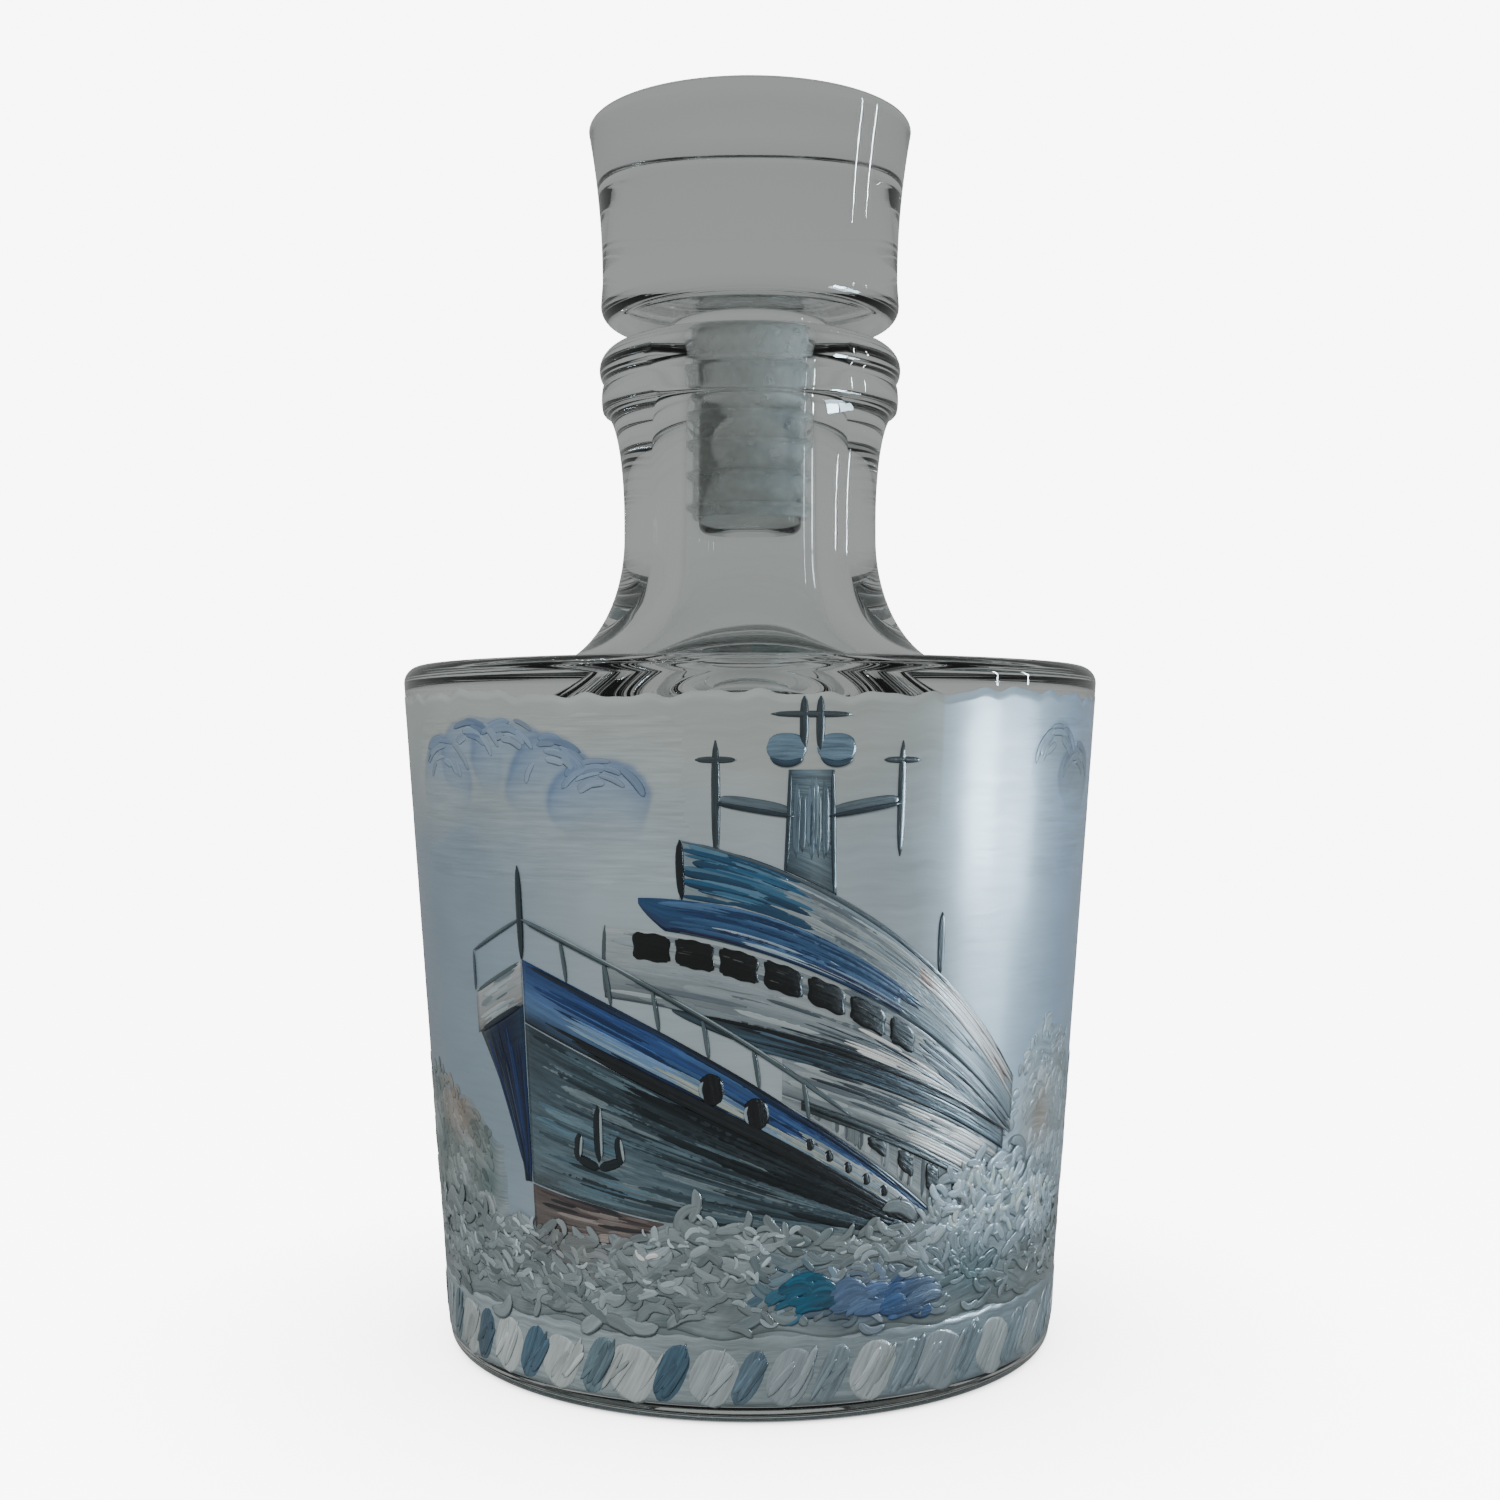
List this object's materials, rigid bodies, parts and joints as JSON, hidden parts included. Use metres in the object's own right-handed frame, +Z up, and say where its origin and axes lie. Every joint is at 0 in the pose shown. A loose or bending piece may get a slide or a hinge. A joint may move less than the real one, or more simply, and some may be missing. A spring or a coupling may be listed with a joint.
{
  "type": "painted decanter",
  "caption": "Round clear glass decanter with a solid glass stopper in a ribbed plastic sleeve and a ship in rough sea painted on its wall.",
  "frame": {"origin": "centre of the foot ring, on the surface the decanter stands on", "axes": "+Z up along the axis of the neck, -Y towards the front of the painted picture, +X to its right"},
  "size_m": [0.1264, 0.1264, 0.221],
  "materials": {
    "clear_glass": "polished",
    "clear_plastic": "clear, smooth",
    "pale_wash_paint": "thin, brushed",
    "cloud_paint": "thin, brushed",
    "wave_paint": "thick, brushed",
    "steel_blue_paint": "brushed",
    "navy_paint": "brushed",
    "brown_paint": "brushed",
    "cobalt_paint": "brushed",
    "white_paint": "brushed",
    "black_paint": "brushed",
    "dark_line_paint": "fine brush lines",
    "foam_paint": "thick dabs"
  },
  "bodies": {
    "bottle": {"bottle": "clear_glass", "sky_wash": "pale_wash_paint", "sea_wash": "pale_wash_paint", "heel_band": "pale_wash_paint", "clouds": "cloud_paint", "far_waves": "wave_paint", "heel_stripes": "steel_blue_paint", "stem_side": "navy_paint", "hull_side": "steel_blue_paint", "boot_top": "brown_paint", "bulwark": "cobalt_paint", "bow_plate": "white_paint", "cabin_side": "white_paint", "deckhouse": "white_paint", "fly_bridge": "white_paint", "mast": "steel_blue_paint", "bridge_windows": "black_paint", "hull_ports": "black_paint", "portholes": "black_paint", "cabin_windows": "black_paint", "anchor": "dark_line_paint", "deck_bands": "dark_line_paint", "roof_stripe": "cobalt_paint", "blue_swirls": "cobalt_paint", "railings": "dark_line_paint", "aerials": "dark_line_paint", "foam": "foam_paint"},
    "sleeve": {"stopper_sleeve": "clear_plastic"},
    "stopper": {"stopper": "clear_glass"}
  },
  "joints": [
    {"name": "stopper_lift", "type": "slide", "parent": "bottle", "child": "sleeve", "axis": [0, 0, 1], "range_m": [0, 0.06]},
    {"name": "stopper_turn", "type": "hinge", "parent": "sleeve", "child": "stopper", "pos_m": [0, 0, 0.18], "axis": [0, 0, 1], "continuous": true}
  ]
}
